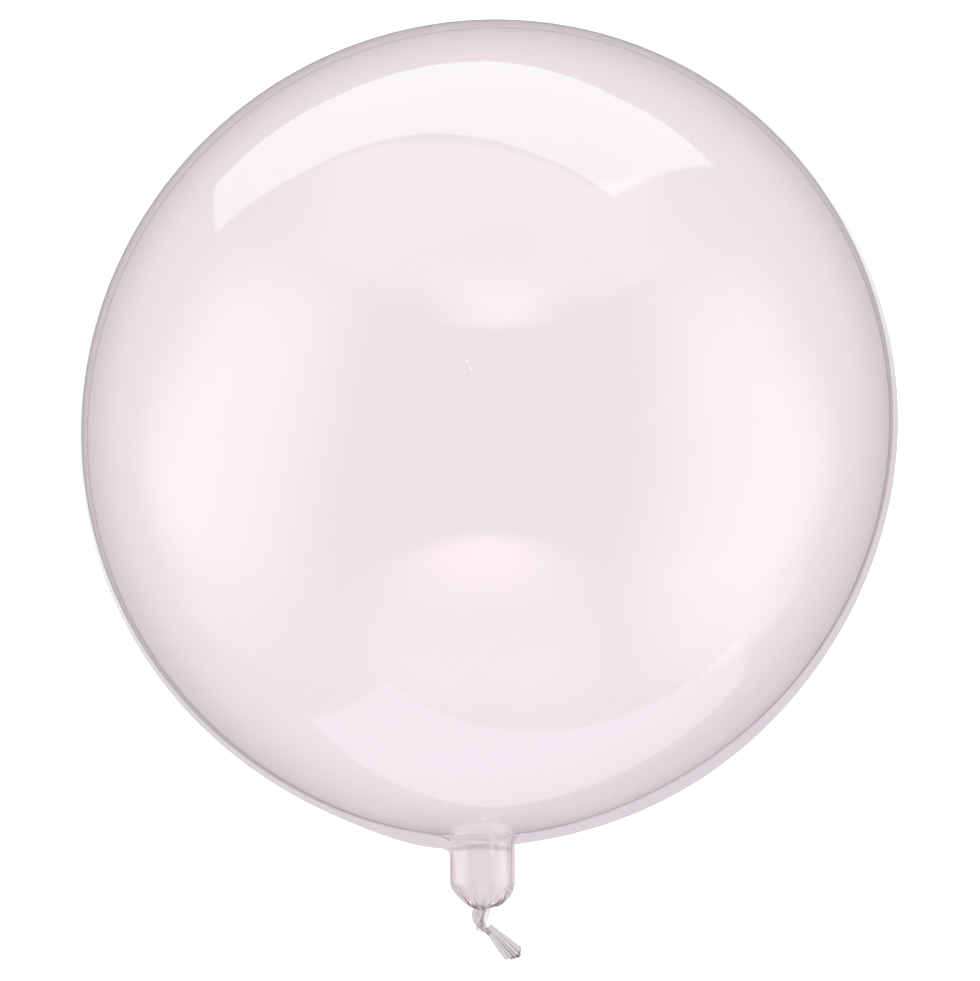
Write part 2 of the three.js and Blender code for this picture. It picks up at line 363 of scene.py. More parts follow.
@dataclass
class FilmSkin:
    """The hollow skin of film: globe, mouth, neck and pouch, from the crown to the waist.

    Its rings stand round the neck's line. They are closest at the neck, and the points of each ring are
    closest at the weld on both sides.

    Attributes:
        crowding: How much closer the points of a ring are at the weld.
        beside: Angle between the weld and the points right beside it.
        neck_crowding: Above one, the neck's rings are closer together towards the mouth.
        mouth_radius: Radius round the neck's line at which the globe turns into the mouth.
        mouth_bend: How far below the mouth's start its curve turns down.
        side_blend: How sharply the left half of the neck passes into the right half.
        rim_inset: How far the pouch stands in to leave the crumpled rim its room.
        groove_below: How far the collar's crease lies below the top of the neck, at the sides.
        groove_arch: How much higher it lies at the front and the back.
        slack_from: How far above the weld, along Y, the film begins to be slack.
        slack_reach: Distance from the neck's line at which the slackness has died away.
        neck_tight: Share of the slackness that the neck's straight part loses.
    """

    form: EnvelopeForm
    thickness: float = 0.00012
    columns: int = 200
    crowding: float = 0.33
    beside: float = 0.0003
    globe_rings: int = 150
    mouth_rings: int = 14
    neck_rings: int = 34
    neck_crowding: float = 1.6
    pouch_rings: int = 40
    mouth_radius: float = 0.0215
    mouth_bend: float = 0.0012
    side_blend: float = 4.0
    rim_inset: float = 0.0011
    tip_length: float = 0.0015
    gather_depth: float = 0.30
    gather_waves: tuple[Wave, ...] = (
        Wave(2 / 3, 11.0, QUARTER_TURN + 0.7),
        Wave(1 / 3, 28.0, QUARTER_TURN + 0.2),
    )
    pucker_waves: tuple[Wave, ...] = (
        Wave(0.00035, 9.0, QUARTER_TURN + 0.4),
        Wave(0.00021, 18.0, QUARTER_TURN + 1.9),
    )
    pucker_reach: float = 0.006
    groove_depth: float = 0.00035
    groove_width: float = 0.0005
    groove_below: float = 0.0010
    groove_arch: float = 0.0016
    slack_from: float = 0.014
    slack_run: float = 0.020
    slack_reach: float = 0.09
    slack_fade: float = 0.03
    neck_tight: float = 0.4
    neck_tight_run: float = 0.003
    seam_angle: float = 0.10
    seam_run: float = 0.002
    fold_above: float = 0.0046
    fold_arch: float = 0.0015
    fold_width: float = 0.00025
    # Strengths of the painted shade that the crease mark lays along the collar's groove, in the gather's
    # valleys, along the neck's side seams (with the welds' own darker line) and along the fold across the
    # mouth.
    groove_shade: float = 0.55
    gather_shade: float = 0.9
    seam_weld_and_shade: float = 0.6
    fold_shade: float = 0.5

    def angles(self) -> Array:
        """Angles round the neck's line, closer together at the weld: a turn less a share of its double sine.

        One more point right beside the weld on each side keeps its crease sharp.
        """
        turn = np.linspace(0.0, 2.0 * np.pi, self.columns, endpoint=False)
        beside = np.array([self.beside, np.pi - self.beside, np.pi + self.beside, 2.0 * np.pi - self.beside])
        return np.sort(np.concatenate([turn - self.crowding * np.sin(2.0 * turn), beside]))

    def neck_section(self, heights: Array, angle: Array) -> Array:
        """Rings of the neck and pouch: an oval whose left, right and front reach taper to the waist.

        In the pouch the sides stand in a little, to leave the crumpled rim its room, and lengthwise folds
        deepen towards the waist.

        Args:
            heights: Height along Y of each ring.
            angle: Angle of each point round the ring.

        Returns:
            Array of rings by points by three.
        """
        form = self.form
        share = np.clip((form.pouch_top - heights) / form.pouch_length, 0.0, 1.0)[:, None]
        waist = form.waist_width / 2
        inset = self.rim_inset * np.sin(np.pi * share) ** 2
        left = waist + (form.neck_width / 2 - waist) * taper(share, form.left_fullness) - inset
        right = waist + (form.neck_width / 2 - waist) * taper(share, form.right_fullness) - inset
        middling = (form.left_fullness + form.right_fullness) / 2
        front = waist + (form.neck_depth / 2 - waist) * taper(share, middling)
        across, deep = np.cos(angle)[None, :], np.sin(angle)[None, :]
        side = (left + right) / 2 + (right - left) / 2 * np.tanh(self.side_blend * across)
        gather = 1.0 + self.gather_depth * share**3 * self.folds(angle)[None, :]
        return np.stack(
            [
                form.offset + side * across * gather,
                np.broadcast_to(heights[:, None], (len(heights), len(angle))),
                form.middle + front * deep * gather,
            ],
            axis=-1,
        )

    def folds(self, angle: Array) -> Array:
        """Lengthwise folds of the gather: two waves of the angle at uneven rates, from minus one to one."""
        return waves_at(self.gather_waves, angle)

    def rings(self) -> Array:
        """All rings of the skin's outer face, from near the crown to the waist.

        The globe's rings stop at the mouth. The mouth is a quadratic curve from there to the top of the neck,
        with its middle point straight above the neck's edge, so it leaves both ends in their own direction.

        Returns:
            Array of rings by points by three.
        """
        form, angle = self.form, self.angles()
        last = math.pi - math.asin(self.mouth_radius / form.radius)
        polar = np.linspace(0.0, last, self.globe_rings + 1)[1:, None]
        level = np.broadcast_to(np.cos(polar), (self.globe_rings, len(angle)))
        direction = np.stack([np.sin(polar) * np.cos(angle), level, np.sin(polar) * np.sin(angle)], axis=-1)
        globe = form.globe_point(direction)
        mouth_start = globe[-1]
        neck_top = self.neck_section(np.array([form.neck_top]), angle)[0]
        bend = neck_top.copy()
        bend[:, 1] = mouth_start[:, 1] - self.mouth_bend
        along = np.linspace(0.0, 1.0, self.mouth_rings + 2)[1:-1, None, None]
        mouth = (1 - along) ** 2 * mouth_start + 2 * along * (1 - along) * bend + along**2 * neck_top
        down = np.linspace(0.0, 1.0, self.neck_rings) ** self.neck_crowding
        straight = form.neck_top - form.neck_length * down
        quarter = np.linspace(0.0, QUARTER_TURN, self.pouch_rings + 1)[1:]
        pouch = form.pouch_top - form.pouch_length * np.sin(quarter)
        neck = self.neck_section(np.concatenate([straight, pouch]), angle)
        return np.concatenate([globe, mouth, neck])

    def groove(self, rings: Array) -> Array:
        """How deep the crease across the collar's foot is at each point: a bell curve of the height from it.

        The crease arches up a little at the front and the back, and it fades out at the sides.

        Args:
            rings: The smooth rings.

        Returns:
            Values from nought to one.
        """
        form = self.form
        deep = np.sin(self.angles())[None, :]
        crease = form.neck_top - self.groove_below + self.groove_arch * deep**2
        return bell((rings[..., 1] - crease) / self.groove_width) * np.sqrt(np.abs(deep))

    def shaped(self, rings: Array) -> Array:
        """Adds the collar's crease and small folds that run out of the neck's mouth and die away round it.

        Each point moves along its normal: inwards by the crease's depth, and by the folds' waves of its angle
        round the neck times a bell curve of its distance from the mouth's edge.

        Args:
            rings: The smooth rings.

        Returns:
            The moved rings.
        """
        form = self.form
        apart = rings - np.array([form.offset, form.root, form.middle])
        from_edge = np.hypot(np.hypot(apart[..., 0], apart[..., 2]) - form.neck_width / 2, apart[..., 1])
        pucker = bell(from_edge / self.pucker_reach) * waves_at(self.pucker_waves, self.angles()[None, :])
        move = pucker - self.groove_depth * self.groove(rings)
        return rings + move[..., None] * grid_normals(rings)

    def marks(self, rings: Array) -> dict[str, Array]:
        """Marks for the finish: slack, film that was stretched less, and crease, painted shade in its folds
        and seams.

        Slack rises from nought on the globe to one down the neck. Crease follows the collar's groove, the
        valleys of the gather near the waist, the seams down the neck's sides and a fold across the mouth. At
        the seams it is the welds' darker line as well as painted shade. Everywhere else it is painted shade.

        Args:
            rings: The smooth rings.

        Returns:
            Both marks.
        """
        form = self.form
        height = rings[..., 1]
        below = form.neck_top - height
        share = np.clip((form.pouch_top - height) / form.pouch_length, 0.0, 1.0)
        aside = np.hypot(rings[..., 0] - form.offset, rings[..., 2] - form.middle)
        slack = ease((form.root + self.slack_from - height) / self.slack_run)
        slack *= ease((self.slack_reach - aside) / self.slack_fade)
        slack *= 1.0 - self.neck_tight * ease(below / self.neck_tight_run) * (1.0 - ease(2.0 * share))
        valley = np.clip(-self.folds(self.angles()), 0.0, 1.0)[None, :]
        across, deep = np.cos(self.angles())[None, :], np.sin(self.angles())[None, :]
        seam = bell(deep / self.seam_angle) * ease(below / self.seam_run)
        fold = bell((-below - self.fold_above - self.fold_arch * across**2) / self.fold_width)
        # Painted shade at the creases, which the finish turns into a darker colour. At the seams it also
        # stands for the welds' darker line.
        crease = self.groove_shade * self.groove(rings) + self.gather_shade * share**6 * valley
        crease = crease + self.seam_weld_and_shade * seam + self.fold_shade * fold
        return {"slack": slack, "crease": np.clip(crease, 0.0, 1.0)}

    def surface(self) -> Surface:
        """Outer and inner face of the film, the inner one a film's thickness inside the outer one."""
        plain = self.rings()
        outer = self.shaped(plain)
        marks = self.marks(plain)
        inner = outer - self.thickness * grid_normals(outer)
        crown = self.form.globe_point(np.array([0.0, 1.0, 0.0]))
        tip = np.array([self.form.offset, self.form.waist - self.tip_length, self.form.middle])
        down = np.array([0.0, self.thickness, 0.0])
        outside = tube_surface(outer, crown, tip, marks)
        inside = tube_surface(inner, crown - down, tip + down, marks).flipped()
        return outside.joined(inside)

    def build(self, outer: bpy.types.Material, inner: bpy.types.Material) -> bpy.types.Object:
        """Makes the film's mesh piece, with the finishes of its outer and its inner face."""
        surface = self.surface()
        return make_piece("globe_film", surface, (outer, inner), len(surface.points) // 2)


@dataclass
class WeldLip:
    """The narrow flat lip outside the weld, round the globe and down both sides of the neck.

    The two sheets leave a darker bead along the weld itself. The lip is a strip whose section is carried
    along the weld, with slight waves and fine creases across it. Beside the pouch it is a wider, crumpled
    rim.

    Attributes:
        bulges: Wider stretches by their degrees round from the neck: left of it and at the lower right.
        waist_gap: How far above the waist the strip begins.
        crumple_start: Share of the pouch over which the crumples set in.
        crumple_end: Share of the pouch over which they die away at the waist.
        rim_start: Share of the pouch over which the rim widens.
        rim_narrowing: Share of the rim's width that is lost by the waist.
        nibble_rates: Rates of the two waves that nibble the rim.
        bead_share: Most of the lip's width that the bead takes.
        bead_back: How far the bead reaches inwards past the weld.
        bead_bend: Share of the bead's width at which its section has its middle point.
        bead_profile: Half the thickness of the section's first points, as shares of the bead's.
        edge: Width of the rounded edges of the strip.
        flange_steps: Steps from the bead to the lip's edge.
        crease_wander: Wave by which the fine creases drift along the lip.
        crumple_leans: How far along the rim the folds lean from its inner to its outer edge.
        crumple_crest: Share of the rim's width past which the crumples rise no more.
        slack_line: Offset, slope and run of the slanted line in plan below which the lip is slack.
    """

    form: EnvelopeForm
    skin: FilmSkin
    left_width: float = 0.0006
    right_width: float = 0.0016
    rim_width: float = 0.0017
    bulges: tuple[Bulge, ...] = (Bulge(0.0026, -7.0, 6.0), Bulge(0.0022, 28.0, 16.0))
    waist_gap: float = 0.0003
    crumple_start: float = 0.12
    crumple_end: float = 0.06
    rim_start: float = 0.3
    rim_narrowing: float = 0.8
    nibble_height: float = 0.00022
    nibble_rates: tuple[float, float] = (5200.0, 1900.0)
    corner_inset: float = 0.0009
    flare: float = 0.0045
    thickness: float = 0.00022
    bead_width: float = 0.0005
    bead_thickness: float = 0.00026
    bead_share: float = 0.6
    bead_back: float = 0.0003
    bead_bend: float = 0.4
    bead_profile: tuple[float, ...] = (0.3, 0.5, 0.5, 0.22)
    bead_dark: float = 0.04
    bead_spread: float = 0.7
    edge: float = 0.00002
    flange_steps: int = 8
    globe_steps: int = 1600
    corner_steps: int = 30
    neck_steps: int = 190
    waves: tuple[Wave, ...] = (Wave(0.00028, 37.0), Wave(0.000168, 85.1, 1.0))
    creases: Wave = Wave(0.00010, 210.0)
    crease_wander: Wave = Wave(2.0 / 210.0, 5.0)
    crumple_height: float = 0.0007
    crumple_waves: tuple[Wave, ...] = (Wave(1.0, 2900.0), Wave(0.7, 5100.0, 1.0))
    crumple_leans: tuple[float, ...] = (3.0 / 2900.0, -4.0 / 5100.0)
    crumple_crest: float = 0.85
    # Painted shade on the crumpled rim: a little over all of it, and much more along its sharpest folds.
    crumple_shade: tuple[float, float] = (0.05, 0.50)
    slack_line: tuple[float, float, float] = (0.07, 0.4, 0.17)

    def route(self) -> tuple[Array, Array, Array]:
        """Inner and outer edge of the lip in plan, from the left of the waist round the crown to the right.

        Returns:
            The inner and the outer edge, each an array of points by two, and how crumpled each step is.
        """
        form = self.form
        left, right = self.side(-1.0), self.side(1.0)
        start = math.atan2(form.root, left[0][-1][0] - self.flare)
        finish = math.atan2(form.root, right[0][-1][0] + self.flare) + 2.0 * math.pi
        bearing = np.linspace(start + 2.0 * math.pi, finish - 2.0 * math.pi, self.globe_steps)
        direction = np.stack([np.cos(bearing), np.sin(bearing), np.zeros_like(bearing)], axis=-1)
        weld = form.globe_point(direction)[:, :2]
        outer = weld + self.width(bearing)[:, None] * direction[:, :2]
        inner_left = self.corner(left[0][-1], weld[0], self.corner_inset)
        inner_right = self.corner(right[0][-1], weld[-1], self.corner_inset)
        outer_left = self.corner(left[1][-1], outer[0], 0.0)
        outer_right = self.corner(right[1][-1], outer[-1], 0.0)
        inner = np.vstack([left[0], inner_left, weld, inner_right[::-1], right[0][::-1]])
        outer = np.vstack([left[1], outer_left, outer, outer_right[::-1], right[1][::-1]])
        smooth = np.zeros(self.globe_steps + 2 * self.corner_steps)
        return inner, outer, np.concatenate([left[2], smooth, right[2][::-1]])

    def width(self, bearing: Array) -> Array:
        """Width of the lip on the globe: the form's own and the bulges.

        Args:
            bearing: Angles from +X, in radians, in any turn.

        Returns:
            The width at each of them.
        """
        from_neck = np.mod(np.degrees(bearing) - NECK_BEARING + 180.0, 360.0) - 180.0
        return self.form.lip_width + sum(bulge.at(from_neck) for bulge in self.bulges)

    def side(self, sign: float) -> tuple[Array, Array, Array]:
        """Edges of the lip down one side of the neck, from the waist up to the corner.

        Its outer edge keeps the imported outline. Beside the pouch its inner edge follows the film, which
        stands in there, and its outer edge is nibbled a little by the crumples.

        Args:
            sign: -1 for the left side and 1 for the right.

        Returns:
            The inner and the outer edge, each an array of points by two, and how crumpled each step is.
        """
        form = self.form
        heights = np.linspace(form.waist + self.waist_gap, form.neck_top - self.flare, self.neck_steps)
        share = np.clip((form.pouch_top - heights) / form.pouch_length, 0.0, 1.0)
        fullness = form.left_fullness if sign < 0 else form.right_fullness
        waist = form.waist_width / 2
        tube = waist + (form.neck_width / 2 - waist) * taper(share, fullness)
        inset = self.skin.rim_inset * np.sin(np.pi * share) ** 2
        narrow = self.left_width if sign < 0 else self.right_width
        crumple = ease(share / self.crumple_start) * ease((1.0 - share) / self.crumple_end)
        rim = ease(share / self.rim_start) * (1.0 - self.rim_narrowing * share**5)
        width = narrow + (self.rim_width - narrow) * rim
        fast, slow = self.nibble_rates
        nibble = self.nibble_height * crumple * np.sin(heights * fast + sign) * np.sin(heights * slow)
        inner = np.stack([form.offset + sign * (tube - inset), heights], axis=-1)
        outer = np.stack([form.offset + sign * (tube + width + nibble), heights], axis=-1)
        return inner, outer, crumple

    def corner(self, neck: Array, globe: Array, inset: float) -> Array:
        """Rounded corner between the neck's side and the globe's edge: a quadratic curve.

        Args:
            neck: Last point on the neck's side.
            globe: First point on the globe's edge.
            inset: How far the curve's middle point stands in from the two edges' crossing.

        Returns:
            The points between them.
        """
        along = np.linspace(0.0, 1.0, self.corner_steps + 2)[1:-1, None]
        bend = np.array([neck[0] - inset * np.sign(neck[0] - self.form.offset), globe[1]])
        return (1 - along) ** 2 * neck + 2 * along * (1 - along) * bend + along**2 * globe

    def surface(self) -> Surface:
        """The closed strip: each ring goes out along the lip's top from the bead and back underneath.

        Returns:
            The closed surface, with its bead marked as the weld's darker line and its crumples marked with
            painted shade, most along their sharpest folds.
        """
        inner, outer, crumple = self.route()
        across = outer - inner
        width = np.linalg.norm(across, axis=1)[:, None]
        bead = np.minimum(self.bead_width, self.bead_share * width)
        back = np.full_like(width, self.bead_back)
        flange = bead + (width - bead) * np.linspace(0.0, 1.0, self.flange_steps)[None, 1:]
        bead_part = [-back, self.edge - back, self.bead_bend * bead, bead]
        offsets = np.hstack([*bead_part, flange[:, :-1], width - self.edge, width])
        half = np.full(offsets.shape[1], self.thickness / 2)
        profile = np.array(self.bead_profile) * self.bead_thickness
        half[: len(profile)] = np.maximum(profile, self.thickness / 2)
        step = np.concatenate([[0.0], np.cumsum(np.linalg.norm(np.diff(inner, axis=0), axis=1))])[:, None]
        phase = 2.0 * np.pi * step / step[-1]
        share = np.clip(offsets / width, 0.0, 1.0)
        rough = crumple[:, None]
        crease = self.creases.at(phase + self.crease_wander.at(phase))
        leaning = zip(self.crumple_waves, self.crumple_leans)
        folds = sum(wave.at(step + lean * share) for wave, lean in leaning)
        calm = waves_at(self.waves, phase) + crease
        calm *= np.minimum(width / self.form.lip_width, 1.0) * (1.0 - rough)
        crest = np.sin(np.pi * np.minimum(share, self.crumple_crest))
        lift = share * calm + self.crumple_height * rough * crest * folds
        plan = inner[:, None, :] + offsets[..., None] * (across / width)[:, None, :]
        top = np.dstack([plan, self.form.middle + lift + half])
        bottom = np.dstack([plan, self.form.middle + lift - half])
        rings = np.concatenate([top, bottom[:, ::-1]], axis=1)
        from_middle = offsets - self.bead_bend * bead / 2
        bead_mark = self.bead_dark * bell(from_middle / (self.bead_spread * self.bead_width))
        # Painted shade on the crumpled rim, strongest along its sharpest folds. The bead's darker line is the
        # weld's own.
        plain_shade, fold_shade = self.crumple_shade
        sharp = rough * (plain_shade + fold_shade * ease(2.0 * (np.abs(folds) - 1.0)))
        dark = np.clip(np.maximum(bead_mark * (1.0 - rough), sharp), 0.0, 1.0)
        level, slope, run = self.slack_line
        slack = ease((level - plan[..., 1] + slope * plan[..., 0]) / run)
        marks = {
            "crease": np.concatenate([dark, dark[:, ::-1]], axis=1),
            "slack": np.concatenate([slack, slack[:, ::-1]], axis=1),
        }
        return tube_surface(rings, rings[0].mean(axis=0), rings[-1].mean(axis=0), marks).outward()

    def build(self, material: bpy.types.Material) -> bpy.types.Object:
        """Makes the lip's mesh piece in its finish."""
        return make_piece("weld_lip", self.surface(), (material,))


def smooth_path(points: Array, count: int) -> Array:
    """Even points on a smooth curve through given ones.

    Each span is a cubic that has the slope between its ends' neighbours at both ends.

    Args:
        points: Places that the curve passes.
        count: How many points to return.

    Returns:
        Array of points by three.
    """
    spans = len(points) - 1
    place = np.linspace(0.0, spans, count)
    span = np.minimum(place.astype(int), spans - 1)
    part = (place - span)[:, None]
    before, first, second, after = (points[np.clip(span + i, 0, spans)] for i in (-1, 0, 1, 2))
    return 0.5 * (
        2 * first
        + (second - before) * part
        + (2 * before - 5 * first + 4 * second - after) * part**2
        + (3 * first - before - 3 * second + after) * part**3
    )


def path_frames(path: Array, up: Array) -> tuple[Array, Array]:
    """Two directions across a path, square to it and to each other.

    Args:
        path: Points of the path.
        up: Direction that the second one keeps close to.

    Returns:
        Side and lift directions for each point.
    """
    along = unit(np.gradient(path, axis=0))
    side = unit(np.cross(along, up))
    return side, np.cross(side, along)


@dataclass
class Knot:
    """The tie: a bundle of twisted film that swings out to the left, and a flat turn of it that crosses over.

    Attributes:
        offset: How far its middle stands to the right of the neck's line.
        bundle: Diameter of the bundle.
        fullness: The bundle's radius at its start, as a share of half its diameter.
        lobe: The bulge of that share along the bundle, where it swings out.
        thinning: How much of that share is lost by its end.
        twist: Angle by which the bundle turns on its way.
        crease_depth: Depth of its sharp creases, as a share of its radius.
        crease_rate: Half the number of sharp creases round it.
        bundle_folds: Its soft folds, as a share of its radius, and wrap_folds those of the wrap.
        fold_turns: Angles by which both sets of soft folds turn on the way.
        shade_from: Share of the deepest crease at which its painted shade sets in.
        shade_run: Share of it over which the painted shade rises to its full strength.
    """

    form: EnvelopeForm
    length: float = 0.0125
    width: float = 0.009
    depth: float = 0.009
    offset: float = -0.0005
    bundle: float = 0.0054
    fullness: float = 0.88
    lobe: Bulge = Bulge(0.32, 0.42, 0.2 / math.sqrt(2.0))
    thinning: float = 0.42
    twist: float = 2.2
    crease_depth: float = 0.20
    crease_rate: float = 1.5
    bundle_folds: Wave = Wave(0.03, 4.0, QUARTER_TURN)
    wrap_width: float = 0.0038
    wrap_thickness: float = 0.0017
    wrap_folds: Wave = Wave(0.05, 3.0, QUARTER_TURN)
    fold_turns: tuple[float, float] = (3.0 / 4.0, 2.0 / 3.0)
    shade_from: float = 0.35
    shade_run: float = 0.6
    steps: int = 110
    around: int = 96

    def place(self, across: float, down: float, deep: float) -> tuple[float, float, float]:
        """A point in the knot, from shares of its half width, its length and its half depth."""
        form = self.form
        return (
            form.offset + self.offset + across * self.width / 2,
            form.waist - down * self.length,
            form.middle + deep * self.depth / 2,
        )

    def swept(self, path: Array, radius: tuple[Array, Array], creases: Array, up: Array) -> Surface:
        """Carries a creased oval along an open path.

        The oval's reach is its radius times one plus the creases, which are given for each step and angle.

        Args:
            path: Points of the path.
            radius: Reach to the side and upwards at each point.
            creases: Share by which each point stands out or in.
            up: Direction that the section keeps level with.

        Returns:
            The closed surface, with painted shade marked in its deepest creases.
        """
        side, lift = path_frames(path, up)
        angle = self.angles()
        sideways = (radius[0][:, None] * (1.0 + creases) * np.cos(angle))[..., None] * side[:, None, :]
        upwards = (radius[1][:, None] * (1.0 + creases) * np.sin(angle))[..., None] * lift[:, None, :]
        # Painted shade in the deepest creases, which the finish turns into a darker colour.
        marks = {"crease": ease((creases / creases.min() - self.shade_from) / self.shade_run)}
        return tube_surface(path[:, None, :] + sideways + upwards, path[0], path[-1], marks).outward()

    def angles(self) -> Array:
        """Even angles round a section."""
        return np.linspace(0.0, 2.0 * np.pi, self.around, endpoint=False)

    def bundle_surface(self) -> Surface:
        """The twisted bundle: a round tube with sharp lengthwise creases that wind round it as it goes."""
        points = np.array([
            self.place(-0.04, -0.10, 0.0),
            self.place(-0.26, 0.08, 0.05),
            self.place(-0.40, 0.36, -0.1),
            self.place(0.0, 0.66, -0.2),
            self.place(0.60, 0.88, -0.1),
            self.place(1.05, 1.04, 0.0),
        ])
        path = smooth_path(points, self.steps)
        share = np.linspace(0.0, 1.0, self.steps)
        radius = self.bundle / 2 * (self.fullness + self.lobe.at(share) - self.thinning * share)
        turn = self.angles()[None, :] + self.twist * share[:, None]
        sharp = self.crease_depth * np.abs(np.sin(self.crease_rate * turn)) ** 8
        soft = self.bundle_folds.at(turn + self.fold_turns[0] * share[:, None])
        return self.swept(path, (radius, radius), soft - sharp, np.array([0.0, 0.0, 1.0]))

    def wrap_surface(self) -> Surface:
        """The flat turn over the bundle, from the pouch's right down to the left, with creases along it."""
        points = np.array([
            self.place(0.20, 0.62, -0.95),
            self.place(0.72, 0.10, -0.5),
            self.place(0.66, 0.02, 0.25),
            self.place(0.50, 0.26, 0.86),
            self.place(0.26, 0.58, 0.86),
            self.place(0.02, 0.86, 0.30),
            self.place(-0.10, 0.84, -0.55),
            self.place(0.16, 0.62, -0.9),
        ])
        path = smooth_path(points, self.steps)
        share = np.linspace(0.0, 1.0, self.steps)
        creases = self.wrap_folds.at(self.angles()[None, :] + self.fold_turns[1] * share[:, None])
        outwards = unit(path - path.mean(axis=0))
        width = np.full(self.steps, self.wrap_width / 2)
        thick = np.full(self.steps, self.wrap_thickness / 2)
        return self.swept(path, (width, thick), creases, outwards)

    def build(self, bundle: bpy.types.Material, wrap: bpy.types.Material) -> list[bpy.types.Object]:
        """Makes the knot's two mesh pieces in their finishes."""
        return [
            make_piece("knot_bundle", self.bundle_surface(), (bundle,)),
            make_piece("knot_wrap", self.wrap_surface(), (wrap,)),
        ]


@dataclass
class Tail:
    """The cut end of the film: a thin sheet folded into a fan of pleats that lie over each other.

    Attributes:
        form: The envelope's sizes.
        knot: The knot that it comes out of.
        turn: Angle from the neck's line towards +X.
        length: Length of the sheet along its middle.
        left_short: How much shorter its left edge is.
        right_short: How much shorter its right edge is.
        root_width: Width at the knot.
        width: Width at the cut.
        thickness: Thickness of the sheet.
        pleats: Number of pleats.
        overlap: How far each fold lies over the next, as a share of the half width.
        pleat_height: Half the height of a pleat.
        root_place: Where it leaves the knot, as shares of the knot's half width and length.
        root_shift: How far its root lies to the side and back along the tail from there.
        spread: Power by which it widens. Below one it widens fastest at the knot.
        squeeze: Share of the width that the folds' middle line takes.
        pleat_swell: Wave by which the pleats' height differs across the sheet.
        fold_waves: Waves by which the pleats' widths differ.
        fold_drift: How far the pleats drift across on the way down the sheet.
        fold_open: Share of the overlap, and of the pleats' height, that is there at the knot already.
        longest: Share across, from minus one to one, at which the sheet is longest.
        nibble: Waves of the uneven cut.
        drift: How far it swings left by its end, and sag how far it sinks.
        edge_shade_share: Width of the painted shade along its edges, as a share of the half width.
        tight: Share of the even slope below which a fold counts as creased and gets painted shade.
        dark: Strength of the painted shade along its edges and where it turns back.
        dark: Strength of its creases.
        rings: Steps along the sheet.
        across: Steps across it.
    """

    form: EnvelopeForm
    knot: Knot
    turn: float = math.radians(46)
    length: float = 0.0218
    left_short: float = 0.0042
    right_short: float = 0.0027
    root_width: float = 0.0042
    width: float = 0.0100
    thickness: float = 0.00022
    pleats: float = 2.2
    overlap: float = 0.16
    pleat_height: float = 0.0010
    pleat_swell: Wave = Wave(0.25, 3.0)
    root_place: tuple[float, float, float] = (0.80, 0.90, 0.0)
    root_shift: tuple[float, float] = (0.0013, 0.0012)
    squeeze: float = 0.93
    spread: float = 0.85
    fold_waves: tuple[Wave, ...] = (Wave(0.9, 2.5), Wave(0.5, 5.0, 1.0))
    fold_drift: float = 0.6
    fold_open: tuple[float, float] = (0.4, 0.35)
    longest: float = 0.25
    nibble: tuple[Wave, ...] = (Wave(0.00035, 11.0, 1.0), Wave(0.0002, 27.0))
    drift: float = 0.0007
    sag: float = 0.0008
    edge_shade_share: float = 0.03
    tight: float = 0.75
    dark: float = 0.75
    rings: int = 70
    across: int = 240

    def surface(self) -> Surface:
        """Rings round a thin folded sheet, from the knot to the cut.

        The sheet's middle line runs across by its share plus a sine of it, so that it doubles back at each
        fold, and it rises and falls by the cosine of the same angle. Each ring goes along one side of that
        line and back along the other, half a thickness away. Past its longest point the cut slants back to
        both edges.

        Returns:
            The closed surface, with painted shade marked along its edges and where the sheet turns back.
        """
        along = np.array([math.sin(self.turn), -math.cos(self.turn), 0.0])
        sideways = np.array([math.cos(self.turn), math.sin(self.turn), 0.0])
        up = np.array([0.0, 0.0, 1.0])
        root = np.array(self.knot.place(*self.root_place))
        root = root + self.root_shift[0] * sideways - self.root_shift[1] * along
        down = np.linspace(0.0, 1.0, self.rings)[:, None]
        share = np.linspace(-1.0, 1.0, self.across)[None, :]
        fold = np.pi * self.pleats * share + waves_at(self.fold_waves, share) + self.fold_drift * down
        opened, raised = (start + (1.0 - start) * down for start in self.fold_open)
        half = (self.root_width + (self.width - self.root_width) * down**self.spread) / 2
        plan = half * (share + self.overlap * np.sin(2.0 * fold) * opened) * self.squeeze
        height = self.pleat_height * raised * np.cos(fold) * (1.0 + self.pleat_swell.at(share))
        left = self.left_short * (self.longest - share) / (self.longest + 1.0)
        right = self.right_short * (share - self.longest) / (1.0 - self.longest)
        length = self.length - np.maximum(left, right) + waves_at(self.nibble, share)
        middle = (
            root
            + (down * length)[..., None] * along
            + (plan - self.drift * down)[..., None] * sideways
            + (height - self.sag * down**2)[..., None] * up
        )
        tangent = np.gradient(middle, axis=1)
        tangent -= (tangent @ along)[..., None] * along
        gap = unit(np.cross(along, tangent)) * self.thickness / 2
        rings = np.concatenate([middle + gap, (middle - gap)[:, ::-1]], axis=1)
        # Painted shade along the sheet's edges and where it turns back, which the finish turns into a darker
        # colour.
        edge = bell((1.0 - np.abs(share)) / self.edge_shade_share)
        slope = np.gradient(plan, axis=1) / (half * 2.0 / self.across)
        crease = self.dark * np.maximum(edge, ease(1.0 - np.abs(slope) / self.tight))
        marks = {"crease": np.concatenate([crease, crease[:, ::-1]], axis=1)}
        return tube_surface(rings, rings[0].mean(axis=0), rings[-1].mean(axis=0), marks).outward()

    def build(self, material: bpy.types.Material) -> bpy.types.Object:
        """Makes the tail's mesh piece in its finish."""
        return make_piece("tail", self.surface(), (material,))


# Finishes


def set_inputs(node: bpy.types.Node, values: dict[str, float]) -> None:
    """Sets a node's inputs by name."""
    for name, value in values.items():
        node.inputs[name].default_value = value


def colour_mix(nodes: bpy.types.Nodes) -> tuple[bpy.types.NodeSocket, ...]:
    """Adds a node that mixes two colours, and returns its factor, first, second and result sockets."""
    mix = nodes.new("ShaderNodeMix")
    mix.data_type = "RGBA"
    first, second = (socket for socket in mix.inputs if socket.type == "RGBA")
    result = next(socket for socket in mix.outputs if socket.type == "RGBA")
    return mix.inputs["Factor"], first, second, result


